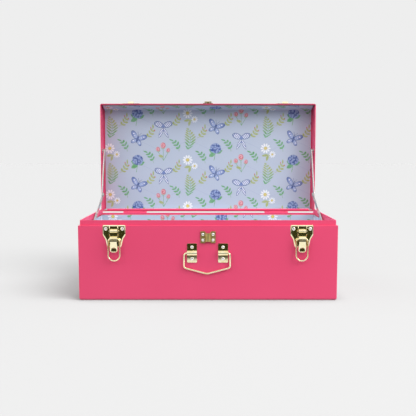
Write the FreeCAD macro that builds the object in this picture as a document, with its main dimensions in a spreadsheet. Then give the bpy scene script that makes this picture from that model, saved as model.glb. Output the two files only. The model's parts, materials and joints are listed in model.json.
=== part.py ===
import FreeCAD, Part
import math
import operator
import os
import types

import Sketcher

# A small steel trunk with a lid that folds back on two hinges, held by a folding stay at each end.
# Millimetres. Origin at the middle of the underside, +X right, +Y back, +Z up, with the lid open.

SIZES = {
    # the box
    "trunk_width": 450.0,
    "trunk_depth": 225.0,
    "body_height": 131.0,
    "lid_height": 40.0,
    "sheet_gauge": 0.8,
    "long_bend": 4.0,
    "end_bend": 2.0,
    "seam_flange": 12.0,
    "hem_height": 6.0,
    "lid_roll": 2.6,
    "parting_gap": 0.3,
    "lid_opening": 91.1,
    "cut_overrun": 5.0,
    # the joggled collar that the lid closes over
    "face_drop": 1.0,
    "collar_inset": 3.1,
    "collar_rise": 9.2,
    "collar_setback": 6.0,
    # the card lining
    "card_gauge": 1.2,
    "card_gap": 1.0,
    "card_drop": 4.0,
    "card_side_gap": 0.3,
    "lid_card_lean": 7.0,
    # the hinges
    "hinge_inset": 76.0,
    "hinge_shift": -5.0,
    "hinge_width": 49.0,
    "hinge_pin_offset": 2.9,
    "hinge_pin_radius": 1.4,
    "knuckle_radius": 2.6,
    "knuckle_gap": 0.3,
    "outer_knuckle": 10.5,
    "leaf_gauge": 1.2,
    "leaf_reach": 24.0,
    "leaf_relief": 0.4,
    "leaf_corner": 3.0,
    "leaf_rivet_spread": 16.0,
    "leaf_rivet_reach": 14.0,
    # the rivets and the play round pins
    "rivet_dome": 1.5,
    "rivet_shank": 1.2,
    "rivet_tail": 2.0,
    "rivet_tail_height": 0.7,
    "rivet_play": 0.05,
    "pin_play": 0.05,
    # the two draw latches on the front
    "latch_inset": 63.0,
    "latch_rise": 1.2,
    "latch_plate_width": 39.5,
    "latch_plate_height": 38.6,
    "latch_plate_gauge": 1.2,
    "latch_plate_bevel": 0.8,
    "latch_plate_rim": 1.9,
    "latch_plate_shoulder": 17.0,
    "latch_plate_waist": 30.0,
    "latch_plate_waist_drop": 24.7,
    "latch_plate_foot": 24.0,
    "latch_top_corner": 2.5,
    "latch_side_bend": 6.0,
    "latch_waist_bend": 10.0,
    "latch_foot_corner": 3.5,
    "latch_rivet_head": 3.0,
    "latch_rivet_spread": 14.15,
    "latch_rivet_drop": 6.5,
    "ear_gauge": 1.0,
    "ear_height": 19.5,
    "ear_out": 7.2,
    "ear_top_out": 4.6,
    "ear_slope": 5.0,
    "latch_pin_radius": 1.3,
    "latch_pin_proud": 0.5,
    "lever_width": 12.8,
    "lever_side_gap": 0.35,
    "lever_pivot_drop": 9.9,
    "lever_pivot_out": 5.0,
    "lever_barrel": 2.65,
    "lever_back": 2.4,
    "lever_web": 2.2,
    "lever_gauge": 1.6,
    "lever_length": 36.9,
    "lever_tip_out": 6.6,
    "tongue_top_out": 9.8,
    "tongue_drop": 3.9,
    "lever_neck": 11.2,
    "lever_tip_width": 14.3,
    "lever_tip_corner": 6.0,
    "lever_lip": 1.3,
    "scoop_width": 9.4,
    "scoop_height": 6.8,
    "scoop_rise": 5.2,
    "scoop_arch": 4.3,
    "scoop_corner": 0.9,
    "scoop_out": 6.3,
    # the wire loop on each lever
    "loop_wire": 1.2,
    "loop_play": 0.08,
    "loop_pivot_drop": 13.9,
    "loop_pivot_out": 5.0,
    "loop_barrel": 4.9,
    "loop_spread": 9.95,
    "loop_length": 37.7,
    "loop_bend": 2.2,
    "loop_shoulder_drop": 3.0,
    "loop_shoulder_run": 2.2,
    "loop_end_depth": 4.4,
    # the keepers on the lid
    "keeper_width": 40.0,
    "keeper_height": 24.0,
    "keeper_gauge": 1.2,
    "keeper_rise": 5.0,
    "keeper_corner": 4.0,
    "keeper_rivet_spread": 14.0,
    "keeper_rivet_drop": 12.0,
    "hook_width": 11.4,
    "hook_valley": 3.0,
    "hook_gauge": 1.3,
    "hook_lip": 4.4,
    "hook_shelf_rise": 11.1,
    # the padlock saddles
    "saddle_width": 26.1,
    "saddle_height": 20.4,
    "saddle_gauge": 1.8,
    "saddle_leaf": 9.7,
    "saddle_neck_height": 14.7,
    "saddle_slope": 2.4,
    "saddle_drop": 19.7,
    "saddle_lid_rise": 17.5,
    "saddle_bridge": 5.3,
    "saddle_bridge_out": 1.3,
    "saddle_tunnel": 3.9,
    "saddle_rivet_head": 2.7,
    "saddle_rivet_spread": 8.6,
    "saddle_rivet_rise": 4.9,
    # the bail handle
    "handle_shift": -0.8,
    "bracket_spread": 26.85,
    "bracket_width": 17.2,
    "bracket_height": 33.6,
    "bracket_gauge": 1.2,
    "bracket_corner": 1.6,
    "bracket_barrel": 4.0,
    "bracket_rivet_head": 2.9,
    "bracket_rivet_rise": 10.2,
    "bail_pivot_height": 83.7,
    "bail_pivot_out": 2.4,
    "bail_wire": 1.5,
    "bail_play": 0.1,
    "bail_slide": -0.8,
    "bail_width": 82.8,
    "bail_arm": 25.7,
    "bail_drop": 36.3,
    "bail_top_bend": 4.5,
    "bail_side_bend": 4.5,
    "bail_vertex_bend": 14.0,
    "bail_end_depth": 13.0,
    # the folding stays
    "stay_gauge": 1.5,
    "stay_width": 8.4,
    "stay_clear": 0.4,
    "stay_gap": 0.3,
    "stay_lid_reach": 131.0,
    "stay_lid_rise": 14.5,
    "stay_body_place": -4.3,
    "stay_body_drop": 6.0,
    "stay_elbow_place": 94.0,
    "stay_elbow_rise": 39.5,
    "stay_slot_travel": 21.1,
    "stay_slot_play": 0.95,
    "stay_end_margin": 5.2,
    "stud_foot": 4.8,
    "stud_foot_gauge": 0.8,
    "stud_shoulder": 3.2,
    "stud_shank": 1.7,
    "stud_head": 3.4,
    "stud_head_gauge": 1.2,
}

doc = FreeCAD.newDocument("storage_trunk")
cells = doc.addObject("Spreadsheet::Sheet", "Sizes")
for row, (alias, number) in enumerate(SIZES.items(), start=1):
    cells.set("A%d" % row, str(number))
    cells.setAlias("A%d" % row, alias)
doc.recompute()

SIGNS = {"+": operator.add, "-": operator.sub, "*": operator.mul, "/": operator.truediv}


class Size:
    """A size with its number and the formula that ties it to the spreadsheet."""

    def __init__(self, number, formula=None):
        self.number = float(number)
        self.formula = formula or repr(float(number))

    def joined(self, sign, other, turned=False):
        other = other if isinstance(other, Size) else Size(other)
        left, right = (other, self) if turned else (self, other)
        number = SIGNS[sign](left.number, right.number)
        return Size(number, "(%s %s %s)" % (left.formula, sign, right.formula))

    def __add__(self, other):
        return self.joined("+", other)

    def __radd__(self, other):
        return self.joined("+", other, turned=True)

    def __sub__(self, other):
        return self.joined("-", other)

    def __rsub__(self, other):
        return self.joined("-", other, turned=True)

    def __mul__(self, other):
        return self.joined("*", other)

    def __rmul__(self, other):
        return self.joined("*", other, turned=True)

    def __truediv__(self, other):
        return self.joined("/", other)

    def __neg__(self):
        return Size(0.0).joined("-", self)


ZERO = Size(0.0)
size = types.SimpleNamespace(**{a: Size(getattr(cells, a), "Sizes." + a) for a in SIZES})


def bind(item, target, value):
    """Tie one property of an object to the formula of a size."""
    item.setExpression(target, value.formula)


def place(item, x, y, z):
    """Tie an object's position to three sizes."""
    for letter, value in zip("xyz", (x, y, z)):
        bind(item, "Placement.Base." + letter, value)


# Shapes that the pieces are made of.

TURNS = {
    "X": FreeCAD.Rotation(FreeCAD.Vector(0, 1, 0), 90),
    "Y": FreeCAD.Rotation(FreeCAD.Vector(1, 0, 0), -90),
    "-Y": FreeCAD.Rotation(FreeCAD.Vector(1, 0, 0), 90),
    "Z": FreeCAD.Rotation(),
}
PLANES = {"XY": "XY_Plane", "XZ": "XZ_Plane", "YZ": "YZ_Plane"}
NEAR = 1e-4


def block(label, x, y, z):
    """A box between pairs of levels along each axis."""
    item = doc.addObject("Part::Box", label)
    spans = [sorted(pair, key=lambda s: s.number) for pair in (x, y, z)]
    for name, (low, high) in zip(("Length", "Width", "Height"), spans):
        bind(item, name, high - low)
    place(item, *[low for low, high in spans])
    return item


def rod(label, axis, centre, radius, ends):
    """A round bar along an axis, through a point of the plane across it."""
    item = doc.addObject("Part::Cylinder", label)
    item.Placement = FreeCAD.Placement(FreeCAD.Vector(), TURNS[axis])
    low, high = sorted(ends, key=lambda s: s.number)
    bind(item, "Radius", radius)
    bind(item, "Height", high - low)
    spot = list(centre)
    spot.insert("XYZ".index(axis), low)
    place(item, *spot)
    return item


def prism(label, plane, outline, levels):
    """A sketched outline padded between two levels across its plane."""
    body = doc.addObject("PartDesign::Body", label)
    sketch = body.newObject("Sketcher::SketchObject", label + "_outline")
    origin = body.Origin.OriginFeatures
    base = [item for item in origin if getattr(item, "Role", "") == PLANES[plane]][0]
    sketch.AttachmentSupport = [(base, "")]
    sketch.MapMode = "FlatFace"
    count = len(outline)
    spots = [FreeCAD.Vector(a.number, b.number, 0) for a, b in outline]
    for i in range(count):
        sketch.addGeometry(Part.LineSegment(spots[i], spots[(i + 1) % count]), False)
    for i in range(count):
        sketch.addConstraint(Sketcher.Constraint("Coincident", i, 2, (i + 1) % count, 1))
    for i, point in enumerate(outline):
        for kind, value in zip(("DistanceX", "DistanceY"), point):
            tie = Sketcher.Constraint(kind, -1, 1, i, 1, value.number)
            bind(sketch, "Constraints[%d]" % sketch.addConstraint(tie), value)
    low, high = sorted(levels, key=lambda s: s.number)
    bind(sketch, "AttachmentOffset.Base.z", -high if plane == "XZ" else low)
    pad = body.newObject("PartDesign::Pad", label + "_pad")
    pad.Profile = sketch
    bind(pad, "Length", high - low)
    body.Tip = pad
    doc.recompute()
    return body


def dress(body, kind, target, value, chosen):
    """Add a fillet or chamfer to the chosen edges of a padded body."""
    base = body.Tip
    names = ["Edge%d" % n for n, edge in enumerate(base.Shape.Edges, start=1) if chosen(edge)]
    feature = body.newObject("PartDesign::" + kind, "%s_%s_%d" % (body.Label, kind, len(body.Group)))
    feature.Base = (base, names)
    bind(feature, target, value)
    body.Tip = feature
    doc.recompute()


def soften(body, plane, radius, corners):
    """Round the padded edges that stand on some corners of the outline."""
    u, v = ["XYZ".index(letter) for letter in plane]
    spots = [(a.number, b.number) for a, b in corners]

    def chosen(edge):
        ends = [(p.Point[u], p.Point[v]) for p in edge.Vertexes]
        return len(ends) == 2 and any(
            all(math.dist(end, spot) < NEAR for end in ends) for spot in spots)

    dress(body, "Fillet", "Radius", radius, chosen)


def edge_at(axis, level):
    """A test for edges that lie wholly at one level along an axis."""
    index = "XYZ".index(axis)
    return lambda edge: all(abs(p.Point[index] - level.number) < NEAR for p in edge.Vertexes)


def fused(label, pieces):
    item = doc.addObject("Part::MultiFuse", label)
    item.Shapes = pieces
    item.Refine = True
    return item


def cut(label, base, tools):
    item = doc.addObject("Part::Cut", label)
    item.Base = base
    item.Tool = tools[0] if len(tools) == 1 else fused(label + "_tools", tools)
    item.Refine = True
    return item


def common(label, first, second):
    item = doc.addObject("Part::Common", label)
    item.Base = first
    item.Tool = second
    item.Refine = True
    return item


def group(label, pieces):
    item = doc.addObject("Part::Compound", label)
    item.Links = pieces
    return item


def drilled(label, base, spots, radius, levels):
    """A piece with round holes along Y at some (x, z) spots."""
    holes = [rod("%s_hole_%d" % (label, i), "Y", spot, radius, levels) for i, spot in enumerate(spots)]
    return cut(label, base, holes)


def rivet(label, spot, face, inside, head, outward):
    """A dome-headed rivet along Y, from a plate's face to a flat tail inside the sheet."""
    ball = (head * head + size.rivet_dome * size.rivet_dome) / (2 * size.rivet_dome)
    dome = doc.addObject("Part::Sphere", label + "_dome")
    dome.Placement = FreeCAD.Placement(FreeCAD.Vector(), TURNS["Y" if outward > 0 else "-Y"])
    bind(dome, "Radius", ball)
    sunk = ball - size.rivet_dome
    bind(dome, "Angle1", Size(0.0, "asin(%s)" % (sunk / ball).formula))
    x, z = spot
    place(dome, x, face - outward * sunk, z)
    shank = rod(label + "_shank", "Y", spot, size.rivet_shank, (face, inside))
    end = inside - outward * size.rivet_tail_height
    tail = rod(label + "_tail", "Y", spot, size.rivet_tail, (inside, end))
    return fused(label, [dome, shank, tail])


def rivets(label, spots, face, inside, head, outward):
    """A set of like rivets in one node."""
    made = [rivet("%s_%d" % (label, i), s, face, inside, head, outward) for i, s in enumerate(spots)]
    return group(label, made)


def bent_wire(label, points, bends, radius):
    """A round wire along straight runs with an arc at each inner point."""
    path = [FreeCAD.Vector(*[value.number for value in point]) for point in points]
    edges = []
    start = path[0]
    for before, corner, after, bend in zip(path, path[1:], path[2:], bends):
        back = (before - corner).normalize()
        ahead = (after - corner).normalize()
        half = back.getAngle(ahead) / 2
        trim = bend.number / math.tan(half)
        middle = corner + (back + ahead).normalize() * (bend.number / math.sin(half) - bend.number)
        into, out_of = corner + back * trim, corner + ahead * trim
        if (into - start).Length > NEAR:
            edges.append(Part.LineSegment(start, into).toShape())
        edges.append(Part.Arc(into, middle, out_of).toShape())
        start = out_of
    edges.append(Part.LineSegment(start, path[-1]).toShape())
    spine = Part.Wire(edges)
    ring = Part.Wire(Part.makeCircle(radius.number, path[0], path[1] - path[0]))
    item = doc.addObject("Part::Feature", label)
    item.Shape = spine.makePipeShell([ring], True, False)
    return item


# Levels that the pieces share.

half_width = size.trunk_width / 2
front = -size.trunk_depth / 2
back = size.trunk_depth / 2
parting = size.body_height
face_top = parting - size.face_drop
lid_rim = parting + size.parting_gap
lid_top = parting + size.lid_height
inner_front = front + size.sheet_gauge
inner_back = back - size.sheet_gauge
inner_end = half_width - size.sheet_gauge
inner_bend = size.long_bend - size.sheet_gauge
wrap_end = half_width - size.end_bend
hinge_y = back + size.hinge_pin_offset
hinge_x = half_width - size.hinge_inset
latch_x = half_width - size.latch_inset
latch_top = parting + size.latch_rise
card_inset = size.sheet_gauge + size.card_gap
SIDES = {"left": -1, "right": 1}

pieces = {}


def keep(node, item, on_lid=False):
    """Name a finished piece, and fold it back about the hinge pins if the lid carries it."""
    item.Label = node
    pieces[node] = item
    if on_lid:
        axis = FreeCAD.Vector(0, hinge_y.number, parting.number)
        turn = FreeCAD.Rotation(FreeCAD.Vector(1, 0, 0), -size.lid_opening.number)
        item.Placement = FreeCAD.Placement(FreeCAD.Vector(), turn, axis).multiply(item.Placement)


# Rivet places, which the plates and the sheets behind them share.

def pair_of(x, spread, z):
    return [(x - spread, z), (x + spread, z)]


def latch_spots(side):
    x = side * latch_x
    return pair_of(x, size.latch_rivet_spread, latch_top - size.latch_rivet_drop)


def saddle_spots(middle, spread, rise):
    return [spot for z in (middle - rise, middle + rise) for spot in pair_of(ZERO, spread, z)]


def bracket_spots(side):
    x = side * size.bracket_spread + size.handle_shift
    rise = size.bracket_rivet_rise
    return [(x, size.bail_pivot_height + rise), (x, size.bail_pivot_height - rise)]


def keeper_spots(side):
    x = side * latch_x
    return pair_of(x, size.keeper_rivet_spread, keeper_top - size.keeper_rivet_drop)


def leaf_spots(side, level):
    x = side * hinge_x + size.hinge_shift
    return pair_of(x, size.leaf_rivet_spread, level)


keeper_base = lid_rim + size.keeper_rise
keeper_top = keeper_base + size.keeper_height
saddle_middle = parting - size.saddle_drop
saddle_lid_middle = parting + size.saddle_lid_rise
body_leaf_level = parting - size.leaf_rivet_reach
lid_leaf_level = parting + size.leaf_rivet_reach
saddle_body_spots = saddle_spots(saddle_middle, size.saddle_rivet_spread, size.saddle_rivet_rise)
saddle_lid_spots = saddle_spots(saddle_lid_middle, size.saddle_rivet_rise, size.saddle_rivet_spread)
front_spots = list(saddle_body_spots)
lid_front_spots = list(saddle_lid_spots)
back_spots = []
lid_back_spots = []
for side in SIDES.values():
    front_spots += latch_spots(side) + bracket_spots(side)
    lid_front_spots += keeper_spots(side)
    back_spots += leaf_spots(side, body_leaf_level)
    lid_back_spots += leaf_spots(side, lid_leaf_level)
rivet_hole = size.rivet_shank + size.rivet_play
front_bore = (front - size.cut_overrun, front + size.cut_overrun)
back_bore = (back - size.cut_overrun, back + size.cut_overrun)


# Body: one sheet makes the front, the bottom and the back, with a hem along the back's top edge.

lap = half_width - size.seam_flange
hem_end = lap - size.card_side_gap
hem_face = inner_back - size.sheet_gauge
hem_foot = parting - size.hem_height
wrap_outline = [
    (front, face_top), (front, ZERO), (back, ZERO), (back, parting), (inner_back, parting),
    (inner_back, size.sheet_gauge), (inner_front, size.sheet_gauge), (inner_front, face_top),
]
wrap = prism("body_sheet", "YZ", wrap_outline, (-wrap_end, wrap_end))
soften(wrap, "YZ", size.long_bend, wrap_outline[1:3])
soften(wrap, "YZ", inner_bend, wrap_outline[5:7])
hem = block("body_hem", (-hem_end, hem_end), (hem_face, inner_back), (hem_foot, parting))
wrap = fused("body_sheet_hemmed", [wrap, hem])
wrap = drilled("body_front_holes", wrap, front_spots, rivet_hole, front_bore)
keep("body_wrap", drilled("body_wrap_drilled", wrap, back_spots, rivet_hole, back_bore))


def end_pan(label, side, shut, rim):
    """A dished end panel whose flange laps inside the wrapped sheet, open along its rim."""
    gauge = size.sheet_gauge
    deeper = 1 if shut.number < rim.number else -1
    floor = shut + deeper * gauge
    shell = [(inner_front, rim), (inner_front, floor), (inner_back, floor), (inner_back, rim)]
    outer = prism(label + "_outer", "YZ", shell, (side * lap, side * half_width))
    soften(outer, "YZ", inner_bend, shell[1:3])
    face = edge_at("X", side * half_width)
    mouth = edge_at("Z", rim)
    dress(outer, "Fillet", "Radius", size.end_bend, lambda edge: face(edge) and not mouth(edge))
    past = rim + deeper * size.cut_overrun
    well = [(inner_front + gauge, past), (inner_front + gauge, floor + deeper * gauge),
            (inner_back - gauge, floor + deeper * gauge), (inner_back - gauge, past)]
    open_side = side * (lap - size.cut_overrun)
    inner = prism(label + "_inner", "YZ", well, (open_side, side * inner_end))
    soften(inner, "YZ", inner_bend - gauge, well[1:3])
    bottom = edge_at("X", side * inner_end)
    brim = edge_at("Z", past)
    dress(inner, "Fillet", "Radius", size.end_bend - gauge, lambda e: bottom(e) and not brim(e))
    return cut(label, outer, [inner])


for name, side in SIDES.items():
    keep("body_end_" + name, end_pan("body_end_pan_" + name, side, ZERO, face_top))


# Body collar: the inset band that the lid slips over, along the front and both ends.

def rounded_frame(inset, radius, level):
    """A closed rectangle with quarter-round corners, inset from the trunk's outline."""
    half_x = (half_width - inset).number
    half_y = (back - inset).number
    edges = []
    ends = []
    for turn, (sx, sy) in enumerate(((1, 1), (-1, 1), (-1, -1), (1, -1))):
        centre = FreeCAD.Vector(sx * (half_x - radius), sy * (half_y - radius), level.number)
        ring = Part.Circle(centre, FreeCAD.Vector(0, 0, 1), radius)
        start = turn * math.pi / 2
        arc = Part.ArcOfCircle(ring, start, start + math.pi / 2)
        edges.append(arc.toShape())
        ends.append((arc.StartPoint, arc.EndPoint))
    for (_, stop), (begin, _) in zip(ends, ends[1:] + ends[:1]):
        edges.append(Part.LineSegment(stop, begin).toShape())
    return Part.Wire(Part.__sortEdges__(edges))


def upright_block(label, inset, radius, levels):
    """An upright solid with quarter-round corners, inset from the trunk's outline."""
    item = doc.addObject("Part::Feature", label)
    item.Shape = Part.makeLoft([rounded_frame(inset, radius.number, level) for level in levels], True, True)
    return item


collar_top = parting + size.collar_rise
collar_inner = size.collar_inset + 2 * size.sheet_gauge
ledge_top = face_top + size.sheet_gauge
collar_outside = fused("collar_outside", [
    upright_block("collar_ledge", ZERO, size.end_bend, (face_top, ledge_top)),
    upright_block("collar_band", size.collar_inset, size.end_bend, (face_top, collar_top))])
inner_corner = size.end_bend - size.sheet_gauge
collar_inside = upright_block("collar_inside", collar_inner, inner_corner, (face_top, collar_top))
behind = block("collar_back", (-half_width, half_width), (back - size.collar_setback, back),
               (face_top, collar_top))
keep("body_collar", cut("collar", collar_outside, [collar_inside, behind]))


# Body lining: printed card along the front, bottom and back, and one card on each end.

card_top = parting - size.card_drop
card_bend = size.long_bend - card_inset
near_face = front + card_inset
far_face = back - card_inset
card_floor = card_inset
end_card = half_width - card_inset


def card_strip(label, foot, rim, lean):
    """A card folded round three sides, free at the rim, its front fold off the wall by a lean."""
    deeper = 1 if foot.number < rim.number else -1
    inner_foot = foot + deeper * size.card_gauge
    near, far = near_face + size.card_gauge, far_face - size.card_gauge
    outline = [(near_face, rim), (near_face + lean, foot), (far_face, foot), (far_face, rim),
               (far, rim), (far, inner_foot), (near + lean, inner_foot), (near, rim)]
    reach = end_card - size.card_gauge - size.card_side_gap
    strip = prism(label, "YZ", outline, (-reach, reach))
    soften(strip, "YZ", card_bend, outline[1:3])
    soften(strip, "YZ", card_bend - size.card_gauge, outline[5:7])
    return strip


keep("body_lining", card_strip("body_card", card_floor, card_top, ZERO))

stay_body_level = parting - size.stay_body_drop
for name, side in SIDES.items():
    tucked = size.card_gauge + size.card_side_gap
    near, far, low = near_face + tucked, far_face - tucked, card_floor + tucked
    outline = [(near, card_top), (near, low), (far, low), (far, card_top)]
    card = prism("end_card_" + name, "YZ", outline, (side * (end_card - size.card_gauge), side * end_card))
    soften(card, "YZ", card_bend - tucked, outline[1:3])
    spot = (size.stay_body_place, stay_body_level)
    reach = (side * (end_card - size.cut_overrun), side * (end_card + size.cut_overrun))
    notch = rod("stud_way_" + name, "X", spot, size.stud_shoulder + size.card_side_gap, reach)
    keep("body_end_lining_" + name, cut("end_card_cut_" + name, card, [notch]))


# Lid: one sheet makes its front, top and back, with a hem along the front's edge and a roll along the back's.

lid_hem_top = lid_rim + size.hem_height
lid_under = lid_top - size.sheet_gauge
lid_hem_front = inner_front + size.sheet_gauge
lid_outline = [
    (front, lid_rim), (front, lid_top), (back, lid_top), (back, lid_rim), (inner_back, lid_rim),
    (inner_back, lid_under), (inner_front, lid_under), (inner_front, lid_rim),
]
lid_sheet = prism("lid_sheet", "YZ", lid_outline, (-wrap_end, wrap_end))
soften(lid_sheet, "YZ", size.long_bend, lid_outline[1:3])
soften(lid_sheet, "YZ", inner_bend, lid_outline[5:7])
hem_ends = (-hem_end, hem_end)
hem = block("lid_hem", hem_ends, (inner_front, lid_hem_front), (lid_rim, lid_hem_top))
roll_axis = (inner_back - size.lid_roll + size.sheet_gauge / 2, lid_rim + size.lid_roll)
roll = rod("lid_rim_roll", "X", roll_axis, size.lid_roll, hem_ends)
hollow = rod("lid_roll_hollow", "X", roll_axis, size.lid_roll - size.sheet_gauge, hem_ends)
lid_sheet = cut("lid_sheet_rolled", fused("lid_sheet_hemmed", [lid_sheet, hem, roll]), [hollow])
lid_sheet = drilled("lid_front_holes", lid_sheet, lid_front_spots, rivet_hole, front_bore)
keep("lid_wrap", drilled("lid_wrap_drilled", lid_sheet, lid_back_spots, rivet_hole, back_bore), on_lid=True)

for name, side in SIDES.items():
    pan = end_pan("lid_end_pan_" + name, side, lid_top, lid_rim)
    clear = size.sheet_gauge + size.end_bend
    hem = block("lid_end_hem_" + name, (side * inner_end, side * (inner_end - size.sheet_gauge)),
                (inner_front + clear, inner_back - clear), (lid_rim, lid_hem_top))
    keep("lid_end_" + name, fused("lid_end_hemmed_" + name, [pan, hem]), on_lid=True)

lid_card_rim = collar_top + size.card_side_gap
lid_card = card_strip("lid_card", lid_top - card_inset, lid_card_rim, size.lid_card_lean)
keep("lid_lining", lid_card, on_lid=True)


# Hinges: two leaves with rolled knuckles on one pin, riveted to the back of the body and of the lid.

leaf_clear = size.knuckle_radius + size.leaf_relief
leaf_outer = back + size.leaf_gauge
pin_bore = size.hinge_pin_radius + size.pin_play


def hinge_leaf(label, middle, up, spans):
    """A flat leaf on the back wall with a rolled knuckle over each span along X."""
    half = size.hinge_width / 2
    near_level = parting + up * leaf_clear
    far_level = parting + up * size.leaf_reach
    outline = [(middle - half, near_level), (middle + half, near_level),
               (middle + half, far_level), (middle - half, far_level)]
    plate = prism(label + "_plate", "XZ", outline, (back, leaf_outer))
    soften(plate, "XZ", size.leaf_corner, outline[2:4])
    parts = [plate]
    for i, span in enumerate(spans):
        parts.append(block("%s_tab_%d" % (label, i), span, (back, leaf_outer), (parting, near_level)))
        parts.append(rod("%s_roll_%d" % (label, i), "X", (hinge_y, parting), size.knuckle_radius, span))
    bore = rod(label + "_bore", "X", (hinge_y, parting), pin_bore,
               (middle - size.hinge_width, middle + size.hinge_width))
    leaf = cut(label + "_bored", fused(label + "_rolled", parts), [bore])
    level = parting + up * size.leaf_rivet_reach
    return drilled(label, leaf, pair_of(middle, size.leaf_rivet_spread, level), rivet_hole, back_bore)


for name, side in SIDES.items():
    middle = side * hinge_x + size.hinge_shift
    half = size.hinge_width / 2
    inner = half - size.outer_knuckle
    lid_span = (middle - inner + size.knuckle_gap, middle + inner - size.knuckle_gap)
    body_spans = [(middle - half, middle - inner), (middle + inner, middle + half)]
    label = "hinge_%s_" % name
    keep(label + "body_leaf", hinge_leaf(label + "lower", middle, -1, body_spans))
    keep(label + "lid_leaf", hinge_leaf(label + "upper", middle, 1, [lid_span]), on_lid=True)
    keep(label + "pin", rod(label + "rod", "X", (hinge_y, parting), size.hinge_pin_radius,
                            (middle - half, middle + half)))
    heads = size.saddle_rivet_head
    keep(label + "body_rivets", rivets(label + "lower_rivet", leaf_spots(side, body_leaf_level),
                                       leaf_outer, inner_back, heads, 1))
    keep(label + "lid_rivets", rivets(label + "upper_rivet", leaf_spots(side, lid_leaf_level),
                                      leaf_outer, inner_back, heads, 1), on_lid=True)


# Draw latches: a shield plate with two ears, a lever on a pin between them, and a wire loop.

plate_face = front - size.latch_plate_gauge
lever_axis = (front - size.lever_pivot_out, latch_top - size.lever_pivot_drop)
loop_axis = (front - size.loop_pivot_out, lever_axis[1] - size.loop_pivot_drop)
lever_tip = lever_axis[1] - size.lever_length


def latch_plate(label, x, spots):
    """A shield with a bevelled rim and two upright ears for the lever's pin."""
    foot = latch_top - size.latch_plate_height
    steps = [(size.latch_plate_width / 2, latch_top),
             (size.latch_plate_width / 2, latch_top - size.latch_plate_shoulder),
             (size.latch_plate_waist / 2, latch_top - size.latch_plate_waist_drop),
             (size.latch_plate_foot / 2, foot)]
    outline = [(x + w, z) for w, z in steps] + [(x - w, z) for w, z in reversed(steps)]
    shield = prism(label + "_shield", "XZ", outline, (plate_face, front))
    bends = (size.latch_top_corner, size.latch_side_bend, size.latch_waist_bend, size.latch_foot_corner)
    for i, bend in enumerate(bends):
        soften(shield, "XZ", bend, [outline[i], outline[-1 - i]])
    dress(shield, "Chamfer", "Size", size.latch_plate_bevel, edge_at("Y", plate_face))
    shield.Tip.ChamferType = "Two distances"
    bind(shield.Tip, "Size2", size.latch_plate_rim)
    inside = size.lever_width / 2 + size.lever_side_gap
    ear_foot = latch_top - size.ear_height
    profile = [(plate_face, latch_top), (front - size.ear_top_out, latch_top),
               (front - size.ear_out, latch_top - size.ear_slope),
               (front - size.ear_out, lever_axis[1] - size.ear_slope), (plate_face, ear_foot)]
    parts = [shield]
    for name, side in SIDES.items():
        levels = (x + side * inside, x + side * (inside + size.ear_gauge))
        parts.append(prism("%s_ear_%s" % (label, name), "YZ", profile, levels))
    reach = (x - size.latch_plate_width, x + size.latch_plate_width)
    bore = rod(label + "_bore", "X", lever_axis, size.latch_pin_radius + size.pin_play, reach)
    eared = cut(label + "_eared", fused(label + "_joined", parts), [bore])
    return drilled(label, eared, spots, rivet_hole, front_bore)


def latch_lever(label, x):
    """A stamped lever: a barrel on the pin, a web, a flat-fronted roll for the loop, a thumb tongue."""
    lever_z = lever_axis[1]
    loop_z = loop_axis[1]
    half = size.lever_width / 2
    sides = (x - half, x + half)
    tip = front - size.lever_tip_out
    top = front - size.tongue_top_out
    top_z = loop_z - size.tongue_drop
    lever_back = front - size.lever_back
    web_face = lever_back - size.lever_web
    tongue = [(top, top_z), (tip, lever_tip), (tip + size.lever_gauge, lever_tip),
              (top + size.lever_gauge, top_z)]
    lip_spot = (tip + size.lever_lip / 2, lever_tip + size.lever_lip)
    solid = fused(label + "_stamping", [
        rod(label + "_barrel", "X", lever_axis, size.lever_barrel, sides),
        rod(label + "_loop_barrel", "X", loop_axis, size.loop_barrel, sides),
        block(label + "_web", sides, (web_face, lever_back), (loop_z, lever_z)),
        block(label + "_brow", sides, (top, top + size.lever_gauge), (top_z, loop_z)),
        prism(label + "_tongue", "YZ", tongue, sides),
        rod(label + "_lip", "X", lip_spot, size.lever_lip, sides)])
    steps = [(half, lever_z + size.lever_barrel * 2), (half, loop_z), (size.lever_neck / 2, loop_z - half),
             (size.lever_tip_width / 2, lever_tip + half), (size.lever_tip_width / 2, lever_tip)]
    shape = [(x + w, z) for w, z in steps] + [(x - w, z) for w, z in reversed(steps)]
    view = prism(label + "_view", "XZ", shape, (front - 2 * size.tongue_top_out, lever_back))
    soften(view, "XZ", size.lever_tip_corner, [shape[4], shape[5]])
    wide, tall = size.scoop_width / 2, size.scoop_height / 2
    low = lever_tip + size.scoop_rise - tall
    corners = [(x - wide, low), (x + wide, low), (x + wide, low + size.scoop_height),
               (x - wide, low + size.scoop_height)]
    scoop = prism(label + "_scoop", "XZ", corners, (front - 2 * size.tongue_top_out, front - size.scoop_out))
    soften(scoop, "XZ", size.scoop_corner, corners[:2])
    soften(scoop, "XZ", size.scoop_arch, corners[2:])
    far = (x - size.lever_width, x + size.lever_width)
    holes = [rod(label + "_bore", "X", lever_axis, size.latch_pin_radius + size.pin_play, far),
             rod(label + "_loop_bore", "X", loop_axis, size.loop_wire + size.loop_play, far), scoop]
    return cut(label, common(label + "_trimmed", solid, view), holes)


def latch_loop(label, x):
    """A wire loop whose turned-in ends sit in the lever's cross hole."""
    y, z = loop_axis
    ends = size.lever_width / 2 - size.loop_end_depth
    waist = size.loop_spread - size.loop_shoulder_run
    low = z - size.loop_length
    half = [(ends, z), (waist, z), (size.loop_spread, z - size.loop_shoulder_drop), (size.loop_spread, low)]
    route = [(x - w, y, level) for w, level in half] + [(x + w, y, level) for w, level in reversed(half)]
    bend = size.loop_bend
    round_end = size.loop_spread - size.loop_bend / 10
    return bent_wire(label, route, [bend, bend, round_end, round_end, bend, bend], size.loop_wire)


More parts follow.
